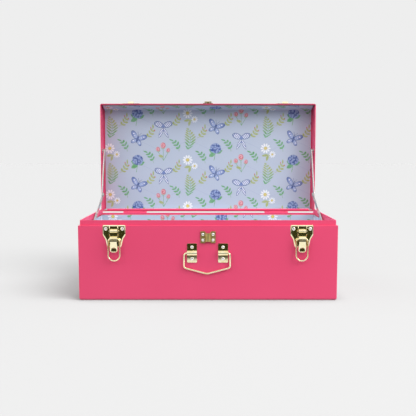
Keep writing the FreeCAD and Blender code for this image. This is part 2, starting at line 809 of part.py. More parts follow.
for name, side in SIDES.items():
    x = side * latch_x
    label = "latch_%s_" % name
    keep(label + "plate", latch_plate(label + "backing", x, latch_spots(side)))
    keep(label + "lever", latch_lever(label + "arm", x))
    keep(label + "loop", latch_loop(label + "wire", x))
    pin_end = size.lever_width / 2 + size.lever_side_gap + size.ear_gauge + size.latch_pin_proud
    pin_ends = (x - pin_end, x + pin_end)
    keep(label + "pin", rod(label + "axle", "X", lever_axis, size.latch_pin_radius, pin_ends))
    keep(label + "rivets", rivets(label + "rivet", latch_spots(side), plate_face, inner_front,
                                  size.latch_rivet_head, -1))


# Keepers: a plate on the lid's front with an upturned hook that the latch's loop pulls down on.

def keeper(label, x, spots):
    face = front - size.keeper_gauge
    half = size.keeper_width / 2
    outline = [(x - half, keeper_base), (x + half, keeper_base),
               (x + half, keeper_top), (x - half, keeper_top)]
    plate = prism(label + "_plate", "XZ", outline, (face, front))
    soften(plate, "XZ", size.keeper_corner, outline)
    shelf = lid_rim + size.hook_shelf_rise
    lip_in = face - size.hook_valley
    lip_out = lip_in - size.hook_gauge
    profile = [(face, shelf), (lip_in, shelf), (lip_in, shelf + size.hook_lip),
               (lip_out, shelf + size.hook_lip), (lip_out, shelf - size.hook_gauge),
               (face, shelf - size.hook_gauge * 2)]
    width = size.hook_width / 2
    hook = prism(label + "_hook", "YZ", profile, (x - width, x + width))
    return drilled(label, fused(label + "_joined", [plate, hook]), spots, rivet_hole, front_bore)


for name, side in SIDES.items():
    x = side * latch_x
    spots = keeper_spots(side)
    keep("keeper_" + name, keeper("keeper_hook_" + name, x, spots), on_lid=True)
    keep("keeper_%s_rivets" % name, rivets("keeper_rivet_" + name, spots, front - size.keeper_gauge,
                                           inner_front, size.latch_rivet_head, -1), on_lid=True)


# Padlock saddles: a riveted strap arched into a short tunnel, upright on the body and level on the lid.

def saddle(label, middle, spots, axis_name):
    def turned(across, along):
        return (across, middle + along) if axis_name == "Z" else (along, middle + across)

    face = front - size.saddle_gauge
    half = size.saddle_width / 2
    inner = half - size.saddle_leaf
    tall = size.saddle_height / 2
    neck = size.saddle_neck_height / 2
    steps = [(half, tall), (inner + size.saddle_slope, tall), (inner, neck)]
    parts = []
    for name, side in SIDES.items():
        outline = [turned(side * w, z) for w, z in steps]
        outline += [turned(side * w, -z) for w, z in reversed(steps)]
        parts.append(prism("%s_leaf_%s" % (label, name), "XZ", outline, (face, front)))
    axis = front - size.saddle_bridge_out
    upright = axis_name == "Z"
    base = middle if upright else ZERO
    centre = (ZERO, axis) if upright else (axis, middle)
    parts.append(rod(label + "_bridge", axis_name, centre, size.saddle_bridge, (base - neck, base + neck)))
    past = (base - size.saddle_height, base + size.saddle_height)
    tunnel = rod(label + "_tunnel", axis_name, centre, size.saddle_tunnel, past)
    wide = (-size.saddle_width, size.saddle_width)
    level = (middle - size.saddle_width, middle + size.saddle_width)
    wall = block(label + "_wall", wide, (front, front + size.saddle_width), level)
    span = (-size.saddle_tunnel, size.saddle_tunnel)
    rise = (middle - size.saddle_tunnel, middle + size.saddle_tunnel)
    foot = block(label + "_foot", span if upright else past, (axis, front), past if upright else rise)
    arch = cut(label + "_arch", fused(label + "_joined", parts), [tunnel, wall, foot])
    return drilled(label, arch, spots, rivet_hole, front_bore)


for node, middle, spots, axis_name, on_lid in (
        ("saddle_body", saddle_middle, saddle_body_spots, "Z", False),
        ("saddle_lid", saddle_lid_middle, saddle_lid_spots, "X", True)):
    keep(node, saddle(node + "_strap", middle, spots, axis_name), on_lid)
    keep(node + "_rivets", rivets(node + "_rivet", spots, front - size.saddle_gauge, inner_front,
                                  size.saddle_rivet_head, -1), on_lid)


# Handle: a wire bail whose ends turn in two riveted strap brackets.

bail_axis = (front - size.bail_pivot_out, size.bail_pivot_height)


def bracket(label, x, spots):
    face = front - size.bracket_gauge
    half = size.bracket_width / 2
    tall = size.bracket_height / 2
    low, high = size.bail_pivot_height - tall, size.bail_pivot_height + tall
    outline = [(x - half, low), (x + half, low), (x + half, high), (x - half, high)]
    strap = prism(label + "_strap", "XZ", outline, (face, front))
    soften(strap, "XZ", size.bracket_corner, outline)
    sides = (x - half, x + half)
    barrel = rod(label + "_barrel", "X", bail_axis, size.bracket_barrel, sides)
    past = (x - size.bracket_width, x + size.bracket_width)
    bore = rod(label + "_bore", "X", bail_axis, size.bail_wire + size.bail_play, past)
    wall = block(label + "_wall", past, (front, front + size.bracket_width), (low, high))
    held = cut(label + "_bored", fused(label + "_joined", [strap, barrel]), [bore, wall])
    return drilled(label, held, spots, rivet_hole, front_bore)


handle_spots = []
for name, side in SIDES.items():
    spots = bracket_spots(side)
    handle_spots += spots
    keep("handle_bracket_" + name, bracket("bracket_" + name, spots[0][0], spots))
keep("handle_rivets", rivets("bracket_rivet", handle_spots, front - size.bracket_gauge, inner_front,
                             size.bracket_rivet_head, -1))

bail_y, bail_z = bail_axis
bail_half = size.bail_width / 2 - size.bail_wire
bail_end = size.bracket_spread + size.bracket_width / 2 - size.bail_end_depth
arm = [(bail_end, bail_z), (bail_half, bail_z), (bail_half, bail_z - size.bail_arm)]
bail_x = size.handle_shift + size.bail_slide
route = [(bail_x - w, bail_y, z) for w, z in arm] + [(bail_x, bail_y, bail_z - size.bail_drop)]
route += [(bail_x + w, bail_y, z) for w, z in reversed(arm)]
bail_bends = [size.bail_top_bend, size.bail_side_bend, size.bail_vertex_bend,
              size.bail_side_bend, size.bail_top_bend]
keep("handle_bail", bent_wire("bail_wire_form", route, bail_bends, size.bail_wire))


# Stays: at each end an upper bar turns on the lid and a slotted lower bar turns on the body.

stay_outer = half_width - collar_inner - size.stay_clear
stay_middle = stay_outer - size.stay_gauge
lower_outer = stay_middle - size.stay_gap
stay_inner = lower_outer - size.stay_gauge
stud_bore = size.stud_shank + size.pin_play
opening = math.radians(size.lid_opening.number)
lid_reach, lid_rise = size.stay_lid_reach.number, size.stay_lid_rise.number
lid_stud_y = hinge_y.number - lid_reach * math.cos(opening) + lid_rise * math.sin(opening)
lid_stud_z = parting.number + lid_reach * math.sin(opening) + lid_rise * math.cos(opening)
elbow_y, elbow_z = size.stay_elbow_place.number, parting.number + size.stay_elbow_rise.number
body_stud_y, body_stud_z = size.stay_body_place.number, stay_body_level.number


def link(label, length, slot, levels):
    """A flat bar with round ends along +Y, a pivot hole at its root and a hole or slot at its far end."""
    half = size.stay_width / 2
    ends = (ZERO, Size(length))
    parts = [block(label + "_bar", levels, ends, (-half, half))]
    parts += [rod("%s_end_%d" % (label, i), "X", (y, ZERO), half, levels) for i, y in enumerate(ends)]
    past = (levels[0] - size.cut_overrun, levels[0] + size.cut_overrun)
    holes = [rod(label + "_pivot", "X", (ZERO, ZERO), stud_bore, past)]
    if slot:
        wide = size.stud_shank + size.stay_slot_play
        far = Size(length) - size.stay_end_margin + half
        near = far - size.stay_slot_travel
        for i, y in enumerate((near, far)):
            holes.append(rod("%s_slot_%d" % (label, i), "X", (y, ZERO), wide, past))
        holes.append(block(label + "_slot", past, (near, far), (-wide, wide)))
    else:
        holes.append(rod(label + "_far", "X", (ends[1], ZERO), stud_bore, past))
    return cut(label, fused(label + "_blank", parts), holes)


def aim(item, start, end):
    """Turn a bar made along +Y so that it runs from one point to another across the trunk's end."""
    angle = math.degrees(math.atan2(end[1] - start[1], end[0] - start[0]))
    turn = FreeCAD.Rotation(FreeCAD.Vector(1, 0, 0), angle)
    item.Placement = FreeCAD.Placement(FreeCAD.Vector(0, start[0], start[1]), turn)


def stud(label, side, spot, wall, bar, foot):
    """A pivot stud along X: a welded foot, a shoulder up to the bar, a shank and a head inside it."""
    near, far = bar
    head = far - size.stay_gap / 2
    tip = head - size.stud_head_gauge
    parts = [rod(label + "_shank", "X", spot, size.stud_shank, (side * near, side * head)),
             rod(label + "_head", "X", spot, size.stud_head, (side * head, side * tip))]
    if foot:
        pad = wall - size.stud_foot_gauge
        seat = near + size.stay_gap / 2
        parts += [rod(label + "_foot", "X", spot, size.stud_foot, (side * wall, side * pad)),
                  rod(label + "_shoulder", "X", spot, size.stud_shoulder, (side * pad, side * seat)),
                  rod(label + "_neck", "X", spot, size.stud_shank, (side * seat, side * near))]
    return fused(label, parts)


lid_stud = (lid_stud_y, lid_stud_z)
elbow = (elbow_y, elbow_z)
body_stud = (body_stud_y, body_stud_z)
upper_length = math.dist(lid_stud, elbow)
lower_length = math.dist(body_stud, elbow) + size.stay_end_margin.number - size.stay_width.number / 2
for name, side in SIDES.items():
    label = "stay_%s_" % name
    upper_levels = (side * stay_outer, side * stay_middle)
    upper = link(label + "upper_bar", upper_length, False, upper_levels)
    aim(upper, lid_stud, elbow)
    keep(label + "upper", upper)
    lower = link(label + "lower_bar", lower_length, True, (side * lower_outer, side * stay_inner))
    aim(lower, body_stud, elbow)
    keep(label + "lower", lower)
    studs = (("lid_stud", lid_stud, (stay_outer, stay_middle), True),
             ("body_stud", body_stud, (lower_outer, stay_inner), True),
             ("elbow_rivet", elbow, (stay_outer, stay_inner), False))
    for node, spot, bar, foot in studs:
        centre = [Size(value) for value in spot]
        keep(label + node, stud(label + node + "_pivot", side, centre, inner_end, bar, foot))


# Check every piece, then write one file for each.

doc.recompute()
faulty = [item.Name for item in doc.Objects if {"Invalid", "Error"} & set(item.State)]
for node, item in pieces.items():
    if item.Shape.isNull() or not item.Shape.isValid() or not item.Shape.Solids:
        faulty.append(node)
if faulty:
    raise RuntimeError("these pieces failed: " + ", ".join(faulty))
os.makedirs("parts", exist_ok=True)
for node, item in pieces.items():
    item.Shape.exportStep("parts/%s.step" % node)
print("%d pieces written" % len(pieces))
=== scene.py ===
import json
import math

import bmesh
import bpy
from mathutils import Matrix, Vector


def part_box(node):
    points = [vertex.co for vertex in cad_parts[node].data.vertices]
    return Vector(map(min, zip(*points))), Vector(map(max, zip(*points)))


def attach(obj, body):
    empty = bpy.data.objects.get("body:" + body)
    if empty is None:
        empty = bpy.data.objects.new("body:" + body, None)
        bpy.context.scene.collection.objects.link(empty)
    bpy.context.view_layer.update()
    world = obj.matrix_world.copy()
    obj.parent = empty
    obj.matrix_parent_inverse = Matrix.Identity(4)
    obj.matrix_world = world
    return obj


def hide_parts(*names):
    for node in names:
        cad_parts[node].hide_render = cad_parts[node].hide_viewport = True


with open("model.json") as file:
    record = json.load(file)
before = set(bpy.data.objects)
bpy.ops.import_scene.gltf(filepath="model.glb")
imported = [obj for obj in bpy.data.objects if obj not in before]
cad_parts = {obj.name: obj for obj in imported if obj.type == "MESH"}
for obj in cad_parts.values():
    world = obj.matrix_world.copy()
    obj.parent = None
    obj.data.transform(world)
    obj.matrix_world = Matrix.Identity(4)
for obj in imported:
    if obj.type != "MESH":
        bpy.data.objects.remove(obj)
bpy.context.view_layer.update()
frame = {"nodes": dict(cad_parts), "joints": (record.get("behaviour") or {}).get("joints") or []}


# Body and lid sheets, with the hinge leaves: thin steel, bent and riveted, then sprayed as one
# and baked. The pink enamel is satin, with a faint orange-peel skin and soft drifts of tone.

class Tone:
    """One socket of a material's nodes. Sums written with it add the nodes that work them out."""

    def __init__(self, tree, socket=None):
        self.tree = tree
        self.socket = socket

    def node(self, kind, settings=None, sockets=None, out=0):
        """Add a node: its settings first, then the values or links of its sockets."""
        made = self.tree.nodes.new(kind)
        for name, value in (settings or {}).items():
            setattr(made, name, value)
        for key, value in (sockets or {}).items():
            if isinstance(value, Tone):
                self.tree.links.new(value.socket, made.inputs[key])
            else:
                made.inputs[key].default_value = value
        return Tone(self.tree, made.outputs[out])

    def twin(self, out):
        """Another output of the node that gave this one."""
        return Tone(self.tree, self.socket.node.outputs[out])

    def into(self, socket):
        self.tree.links.new(self.socket, socket)

    def math(self, operation, *others):
        return self.node("ShaderNodeMath", {"operation": operation},
                         dict(enumerate((self, *others))))

    def flipped(self, operation, other):
        return self.node("ShaderNodeMath", {"operation": operation}, {0: other, 1: self})

    def __add__(self, other):
        return self.math("ADD", other)

    def __sub__(self, other):
        return self.math("SUBTRACT", other)

    def __rsub__(self, other):
        return self.flipped("SUBTRACT", other)

    def __mul__(self, other):
        return self.math("MULTIPLY", other)

    def __truediv__(self, other):
        return self.math("DIVIDE", other)

    def __lt__(self, other):
        return self.math("LESS_THAN", other)

    def __gt__(self, other):
        return self.math("GREATER_THAN", other)

    def __abs__(self):
        return self.math("ABSOLUTE")

    def __neg__(self):
        return self * -1.0

    __radd__ = __add__
    __rmul__ = __mul__

    def ramp(self, low, high, bottom=0.0, top=1.0):
        """A smooth rise from one value to another as this goes from low to high."""
        return self.node("ShaderNodeMapRange", {"interpolation_type": "SMOOTHSTEP"},
                         {0: self, 1: low, 2: high, 3: bottom, 4: top})

    def blend(self, under, over, kind="MIX"):
        """Two colours mixed by this share of the second."""
        return self.node("ShaderNodeMix", {"data_type": "RGBA", "blend_type": kind},
                         {0: self, 6: under, 7: over}, 2)

    def speckle(self, size_mm, detail=2.0, rough=0.5):
        """Cloudy noise from 0 to 1 at one grain size, on this place."""
        return self.node("ShaderNodeTexNoise", {}, {"Vector": self, "Scale": 1000.0 / size_mm,
                                                    "Detail": detail, "Roughness": rough})


def colour(red, green, blue):
    """A screen colour of 0 to 255 as the shader's own values."""
    values = [channel / 255 for channel in (red, green, blue)]
    return (*[v / 12.92 if v <= 0.04045 else ((v + 0.055) / 1.055) ** 2.4 for v in values], 1.0)


def new_finish(name, **even):
    """A material, the place on the piece, and the shader with its even values set."""
    material = bpy.data.materials.new(name)
    material.use_nodes = True
    shader = material.node_tree.nodes["Principled BSDF"]
    for key, value in even.items():
        shader.inputs[key.replace("_", " ")].default_value = value
    place = Tone(material.node_tree).node("ShaderNodeTexCoord", out="Object")
    return material, place, shader


def eased(place, radius_mm):
    """The normal with sharp edges rounded over."""
    return place.node("ShaderNodeBevel", {"samples": 4}, {"Radius": radius_mm / 1000})


def bumped(height, normal, depth_mm, strength):
    """The normal of a surface with fine relief."""
    return height.node("ShaderNodeBump", {}, {"Strength": strength, "Distance": depth_mm / 1000,
                                              "Height": height, "Normal": normal})


def cover(material, nodes):
    """Give a finish to pieces of the frame."""
    for name in nodes:
        mesh = frame["nodes"][name].data
        mesh.materials.clear()
        mesh.materials.append(material)


ENAMEL = colour(231, 74, 116)
ENAMEL_DEEP = colour(225, 69, 110)
ENAMEL_ROUGHNESS = (0.40, 0.50)
NOISE_SPAN = (0.2, 0.8)
DRIFT_SIZE, CLOUD_SIZE, PEEL_SIZE = 120.0, 14.0, 2.2
PEEL_DEPTH, PEEL_STRENGTH = 0.02, 0.35
SHEET_EASE = 0.5
enamel, place, shader = new_finish("pink_enamel", Specular_IOR_Level=0.42)
drift = place.speckle(DRIFT_SIZE, detail=3.0)
drift.blend(ENAMEL, ENAMEL_DEEP).into(shader.inputs["Base Color"])
place.speckle(CLOUD_SIZE).ramp(*NOISE_SPAN, *ENAMEL_ROUGHNESS).into(shader.inputs["Roughness"])
peel = place.speckle(PEEL_SIZE, detail=1.0)
bumped(peel, eased(place, SHEET_EASE), PEEL_DEPTH, PEEL_STRENGTH).into(shader.inputs["Normal"])

SIDES = ("left", "right")
painted = ["body_wrap", "body_collar", "lid_wrap"]
for side in SIDES:
    painted += ["body_end_" + side, "lid_end_" + side]
    painted += ["hinge_%s_%s" % (side, part) for part in ("body_leaf", "lid_leaf", "pin")]
cover(enamel, painted)


# Card linings: pasteboard covered with a printed paper, glued inside the body and the lid.
# The print sets blossoms, ferns, buds, butterflies and bows on a grey-blue ground, row by row.

GROUND = colour(187, 198, 216)
NAVY = colour(44, 76, 150)
BLUE = colour(104, 126, 190)
PALE_BLUE = colour(168, 186, 224)
GREEN = colour(96, 168, 98)
OLIVE = colour(168, 180, 92)
CELADON = colour(196, 216, 202)
PINK = colour(232, 160, 164)
RED = colour(206, 84, 98)
YELLOW = colour(230, 204, 84)
WHITE = colour(242, 244, 248)
VINE = colour(160, 172, 204)
BOARD = colour(206, 200, 188)
FIBRE = colour(120, 128, 150)
SET_WIDTH = 56.0
SET_HEIGHT = 50.0


def far(u, v):
    return (u * u + v * v).math("SQRT")


def turned(u, v, degrees):
    c, s = math.cos(math.radians(degrees)), math.sin(math.radians(degrees))
    return u * c + v * s, v * c - u * s


def oval(u, v, wide, tall):
    """How far a spot lies outside an oval, less than zero inside it."""
    return (far(u / wide, v / tall) - 1.0) * min(wide, tall)


def leaf(u, v, long, wide):
    """A pointed leaf from the origin along v."""
    share = v / long
    return abs(u) - share * (1 - share) * (4 * wide)


def stroke(u, v, start, end, wide):
    """A brush line between two spots."""
    run, rise = end[0] - start[0], end[1] - start[1]
    a, b = u - start[0], v - start[1]
    share = (a * run + b * rise) / (run * run + rise * rise)
    share = share.math("MAXIMUM", 0.0).math("MINIMUM", 1.0)
    return far(a - share * run, b - share * rise) - wide


def inked(distance, soft=0.35):
    """One inside a shape and zero outside it, with a soft edge."""
    return distance.ramp(soft, -soft)


def sets(across, along):
    """The place in each cell of a half-drop layout, and the cell's column and row."""
    column = (across / SET_WIDTH).math("FLOOR")
    drop = column.math("FLOORED_MODULO", 2.0) * (SET_HEIGHT / 2)
    row = ((along + drop) / SET_HEIGHT).math("FLOOR")
    u = across - (column + 0.5) * SET_WIDTH
    v = along + drop - (row + 0.5) * SET_HEIGHT
    return u, v, column, row


def hydrangea(u, v, wash, grain):
    floret = 4.4
    florets = grain.node("ShaderNodeTexVoronoi", {"voronoi_dimensions": "2D"},
                         {"Vector": grain, "Scale": 1 / floret})
    petals = florets.ramp(0.25, 0.62).blend(wash.blend(BLUE, PALE_BLUE), NAVY)
    petals = inked(florets * floret, 0.9).blend(petals, CELADON)
    layers = [(leaf(*turned(u, v + 5, angle), 16, 4.4), GREEN) for angle in (62, -70, 118)]
    layers.append((stroke(u, v, (0, -4), (-3, -21), 0.5), GREEN))
    layers.append((oval(u, v - 5, 12, 11) + wash * 2.4 - 1.2, petals))
    return layers


def fern(u, v, wash, grain):
    out = abs(u - v * v * 0.012 + 2)
    lean = (v - out * 0.75 + 60).math("FLOORED_MODULO", 6.0) - 3
    share = out / (13 - v * v * 0.021)
    fronds = abs(lean) - share * (1 - share) * 8.6
    shade = v.ramp(-20, 18).blend(GREEN, OLIVE)
    return [(fronds, shade), ((out - 0.4).math("MAXIMUM", abs(v) - 22), GREEN)]


def buds(u, v, wash, grain):
    layers = []
    for x, y, wide in ((-1, 11, 6.4), (-12, 3, 5.0), (10, 1, 4.6)):
        a, b = turned(u - x, v - y, x * -1.5)
        swirl = far(a, b) * (8.4 / wide) + a.math("ARCTAN2", b)
        petals = inked(swirl.math("SINE") * 2 - 0.7, 0.8).blend(RED, PINK)
        layers.append((stroke(u, v, (0, -21), (x, y - wide), 0.45), GREEN))
        for tilt in (-38, 0, 38):
            layers.append((leaf(*turned(a, b + wide * 1.25, tilt), wide * 1.3, 1.5), GREEN))
        layers.append((oval(a, b, wide * 0.86, wide), petals))
    layers.append((leaf(*turned(u, v + 14, 70), 12, 2.8), OLIVE))
    return layers


def butterfly(u, v, wash, grain):
    a, b = turned(u, v, 20)
    out = abs(a)
    wings = oval(*turned(out - 9.4, b - 6.5, 38), 10.2, 5.4).math(
        "MINIMUM", oval(*turned(out - 6.2, b + 6.6, -48), 7.0, 4.2))
    fill = wings.ramp(-1.1, -0.5).blend(out.ramp(2, 15).blend(PALE_BLUE, BLUE), NAVY)
    layers = [(wings, fill)]
    for x, y, radius in ((11.5, 8.5, 1.5), (8, 5, 1.0), (7.5, -6.5, 1.3)):
        layers.append((far(out - x, b - y) - radius, WHITE))
    layers += [(stroke(out, b, (0.4, 8), (4.2, 15), 0.32), NAVY), (oval(a, b, 1.3, 9.6), NAVY)]
    return layers


def daisies(u, v, wash, grain):
    layers = [(leaf(*turned(u - 2, v + 9, angle), 14, 2.6), OLIVE) for angle in (100, -96, 165)]
    for x, y, wide in ((-4, 5, 11.0), (11, -8, 7.2)):
        a, b = u - x, v - y
        spokes = abs((a.math("ARCTAN2", b) * 5.0).math("SINE"))
        reach = far(a, b)
        petals = (spokes.ramp(0.5, 0.05) * 0.75).blend(WHITE, BLUE)
        layers.append((reach - (spokes * 0.42 + 0.58) * wide, petals))
        middle = reach.ramp(wide * 0.2, wide * 0.36).blend(YELLOW, OLIVE)
        layers.append((reach - wide * 0.34, middle))
    return layers


def bow(u, v, wash, grain):
    out = abs(u)
    stripes = inked((out * 1.5 + v * 1.1).math("SINE") * 0.6, 0.3).blend(BLUE, WHITE)
    loops = oval(*turned(out - 9.6, v - 6, 22), 10.4, 6.2)
    bands = loops.ramp(-1.5, -0.9).blend(stripes, NAVY)
    tails = leaf(*turned(out, -v, -24), 25, 3.4)
    knot = oval(u, v - 2.6, 3.2, 3.8)
    return [(tails, tails.ramp(-1.1, -0.6).blend(stripes, NAVY)), (loops, bands), (knot, BLUE)]


MOTIFS = (hydrangea, fern, buds, butterfly, daisies, bow)


def print_group():
    """The printed paper, from millimetres across and along the strip to a colour."""
    tree = bpy.data.node_groups.new("card_print", "ShaderNodeTree")
    for name in ("Across", "Along"):
        tree.interface.new_socket(name=name, in_out="INPUT", socket_type="NodeSocketFloat")
    tree.interface.new_socket(name="Colour", in_out="OUTPUT", socket_type="NodeSocketColor")
    start = Tone(tree).node("NodeGroupInput")
    flat = start.node("ShaderNodeCombineXYZ", {}, {0: start, 1: start.twin(1)})
    wash = flat.node("ShaderNodeTexNoise", {}, {"Vector": flat, "Scale": 0.16, "Detail": 3.0})
    waver = flat.node("ShaderNodeTexNoise", {}, {"Vector": flat, "Scale": 0.35}) - 0.5
    across, along = start + waver * 1.6, start.twin(1) - waver * 1.6

    wave = (across * (2 * math.pi / (2 * SET_WIDTH))).math("SINE") * 9.0 + along + SET_HEIGHT * 0.8
    trail = abs(wave.math("FLOORED_MODULO", SET_HEIGHT) - SET_HEIGHT / 2) - 0.3
    picture = (inked(trail) * 0.8).blend(GROUND, VINE)

    u, v, column, row = sets(across + SET_WIDTH / 2, along + SET_HEIGHT / 4)
    odd = (column + row).math("FLOORED_MODULO", 2.0)
    way = 1 - odd * 2
    a, b = u * 0.82 + v * way * 0.57, v * 0.82 - u * way * 0.57
    a = a + b * b * 0.02 - 1
    out = abs(a)
    sprig = [(out - 0.35).math("MAXIMUM", abs(b + 2) - 13), leaf(a, b - 10, 9, 1.9)]
    for level, long in ((-9, 8.0), (-2, 9.0), (5, 7.5)):
        sprig.append(leaf(*turned(out, b - level, -52), long, 2.0))
    for shape in sprig:
        picture = inked(shape).blend(picture, odd.blend(GREEN, OLIVE))
    picture = (inked(far(out - 5, b - 10) - 1.3) * odd).blend(picture, RED)

    u, v, column, row = sets(across, along)
    pick = (column * 2.0 + row * 3.0).math("FLOORED_MODULO", float(len(MOTIFS)))
    u = u * (1 - 2 * row.math("FLOORED_MODULO", 2.0))
    for number, draw in enumerate(MOTIFS):
        here = pick.math("COMPARE", float(number), 0.5)
        for shape, ink in draw(u, v, wash, flat):
            picture = (inked(shape) * here).blend(picture, ink)
    picture = wash.ramp(0.25, 0.75, 0.70, 0.98).blend(GROUND, picture)
    leave = tree.nodes.new("NodeGroupOutput")
    picture.into(leave.inputs[0])
    return tree


PRINT = print_group()
PAPER_ROUGHNESS = (0.62, 0.78)
FIBRE_SIZE, COCKLE_SIZE = 0.9, 55.0
COCKLE_DEPTH, COCKLE_STRENGTH = 0.9, 0.25
CARD_EASE = 0.3


def lining(name, unroll, raw_edge):
    """A printed card: unroll gives the place along the strip, raw_edge shows the cut board."""
    material, place, shader = new_finish(name, Specular_IOR_Level=0.3)
    parts = place.node("ShaderNodeSeparateXYZ", {}, {0: place})
    x, y, z = [parts.twin(axis) * 1000.0 for axis in "XYZ"]
    across, along = unroll(x, y, z)
    paper = place.node("ShaderNodeGroup", {"node_tree": PRINT}, {0: across, 1: along})
    fibre = place.speckle(FIBRE_SIZE, detail=4.0)
    paper = fibre.ramp(0.3, 0.7, 0.06, 0.0).blend(paper, FIBRE)
    raw_edge(x, y, z).blend(paper, BOARD).into(shader.inputs["Base Color"])
    fibre.ramp(*NOISE_SPAN, *PAPER_ROUGHNESS).into(shader.inputs["Roughness"])
    cockle = place.speckle(COCKLE_SIZE, detail=1.0) + fibre * 0.02
    normal = bumped(cockle, eased(place, CARD_EASE), COCKLE_DEPTH, COCKLE_STRENGTH)
    normal.into(shader.inputs["Normal"])
    return material


def sign(value):
    return value.math("SIGN")


RIM = 126.9
LID_RIM = 140.55
CARD_FLOOR = 3.0
LID_CARD_TOP = 168.0
END_SHIFT = (31.0, 17.0)
LID_SHIFT = (12.0, 9.0)
hinge = next(joint for joint in frame["joints"] if joint["name"] == "lid_hinge")
HINGE_Y, HINGE_Z = [1000 * value for value in hinge["pos_m"][1:]]
OPENING = hinge["range_deg"][1]
TURN_COS, TURN_SIN = math.cos(math.radians(OPENING)), math.sin(math.radians(OPENING))


def shut(y, z):
    """The place of a spot on the open lid, once the lid is shut."""
    back, up = y - HINGE_Y, z - HINGE_Z
    return back * TURN_COS - up * TURN_SIN + HINGE_Y, back * TURN_SIN + up * TURN_COS + HINGE_Z


def body_strip(x, y, z):
    return x, y + sign(y) * (z - CARD_FLOOR).math("MAXIMUM", 0.0)


def end_strip(x, y, z):
    return y + END_SHIFT[0], z + END_SHIFT[1]


def lid_strip(x, y, z):
    back, up = shut(y, z)
    wall = (LID_CARD_TOP - up).math("MAXIMUM", 0.0)
    return x + LID_SHIFT[0], LID_SHIFT[1] - back - sign(back) * wall


def body_edge(x, y, z):
    return z > RIM


def lid_edge(x, y, z):
    return shut(y, z)[1] < LID_RIM


cover(lining("body_card", body_strip, body_edge), ["body_lining"])
cover(lining("end_card", end_strip, body_edge), ["body_end_lining_" + side for side in SIDES])
cover(lining("lid_card", lid_strip, lid_edge), ["lid_lining"])


# Rivets: bright domed steel, each driven through a plate and the sheet and closed inside.
# One turned blank is set at every hole, facing out from the sheet that it holds.

STEEL = colour(246, 246, 242)
STEEL_DULL = colour(230, 230, 228)
STEEL_ROUGHNESS = (0.04, 0.10)
rivet_steel, place, shader = new_finish("rivet_steel", Metallic=1.0)
place.speckle(3.0).blend(STEEL, STEEL_DULL).into(shader.inputs["Base Color"])
place.speckle(0.8).ramp(*NOISE_SPAN, *STEEL_ROUGHNESS).into(shader.inputs["Roughness"])

DOME = 1.5
DOME_FOOT = 0.2
DOME_STEPS = 8
TAIL = 0.7
TURNS = 28
CREASE = math.radians(40)


def rivet_blank(grip):
    """A rivet turned round Z: head radius 1, lengths along Z in metres, head seat at zero."""
    under = -grip - TAIL
    profile = [(0.0, under), (0.6, under), (0.66, under + TAIL * 0.5), (0.6, -grip), (0.4, -grip),
               (0.4, 0.0), (0.94, 0.0), (1.0, DOME_FOOT * 0.5)]
    for step in range(DOME_STEPS + 1):
        angle = step * math.pi / (2 * DOME_STEPS)
        profile.append((math.cos(angle), DOME_FOOT + (DOME - DOME_FOOT) * math.sin(angle)))
    shape = bmesh.new()
    points = [shape.verts.new((radius, 0.0, level / 1000)) for radius, level in profile]
    edges = [shape.edges.new(pair) for pair in zip(points, points[1:])]
    bmesh.ops.spin(shape, geom=points + edges, axis=(0, 0, 1), cent=(0, 0, 0), steps=TURNS,
                   angle=2 * math.pi, use_merge=True)
    bmesh.ops.remove_doubles(shape, verts=shape.verts, dist=1e-6)
    bmesh.ops.recalc_face_normals(shape, faces=shape.faces)
    for face in shape.faces:
        face.smooth = True
    mesh = bpy.data.meshes.new("rivet_blank")
    shape.to_mesh(mesh)
    shape.free()
    mesh.set_sharp_from_angle(angle=CREASE)
    blank = bpy.data.objects.new("rivet_blank", mesh)
    bpy.context.scene.collection.objects.link(blank)
    return blank


def riveting_tree():
    """Set a blank on every hole, facing along the hole's own direction."""
    tree = bpy.data.node_groups.new("riveting", "GeometryNodeTree")
    face = tree.interface
    face.new_socket(name="Holes", in_out="INPUT", socket_type="NodeSocketGeometry")
    face.new_socket(name="Blank", in_out="INPUT", socket_type="NodeSocketObject")
    face.new_socket(name="Head Radius", in_out="INPUT", socket_type="NodeSocketFloat")
    face.new_socket(name="Finish", in_out="INPUT", socket_type="NodeSocketMaterial")
    face.new_socket(name="Rivets", in_out="OUTPUT", socket_type="NodeSocketGeometry")
    start = Tone(tree).node("NodeGroupInput")
    blank = start.node("GeometryNodeObjectInfo", {}, {"Object": start.twin(1)}, "Geometry")
    outward = start.node("GeometryNodeInputNamedAttribute", {"data_type": "FLOAT_VECTOR"},
                         {"Name": "outward"})
    turn = start.node("FunctionNodeAlignRotationToVector", {"axis": "Z"}, {"Vector": outward})
    scale = start.node("ShaderNodeCombineXYZ", {}, {0: start.twin(2), 1: start.twin(2), 2: 1.0})
    placed = start.node("GeometryNodeInstanceOnPoints", {},
                        {"Points": start, "Instance": blank, "Rotation": turn, "Scale": scale})
    solid = start.node("GeometryNodeRealizeInstances", {}, {0: placed})
    done = start.node("GeometryNodeSetMaterial", {}, {"Geometry": solid, "Material": start.twin(3)})
    done.into(tree.nodes.new("NodeGroupOutput").inputs[0])
    return tree


RIVETING = riveting_tree()
LID_TURN = Matrix.Rotation(math.radians(-OPENING), 3, "X")
OUT_FRONT = Vector((0, -1, 0))
OUT_BACK = Vector((0, 1, 0))


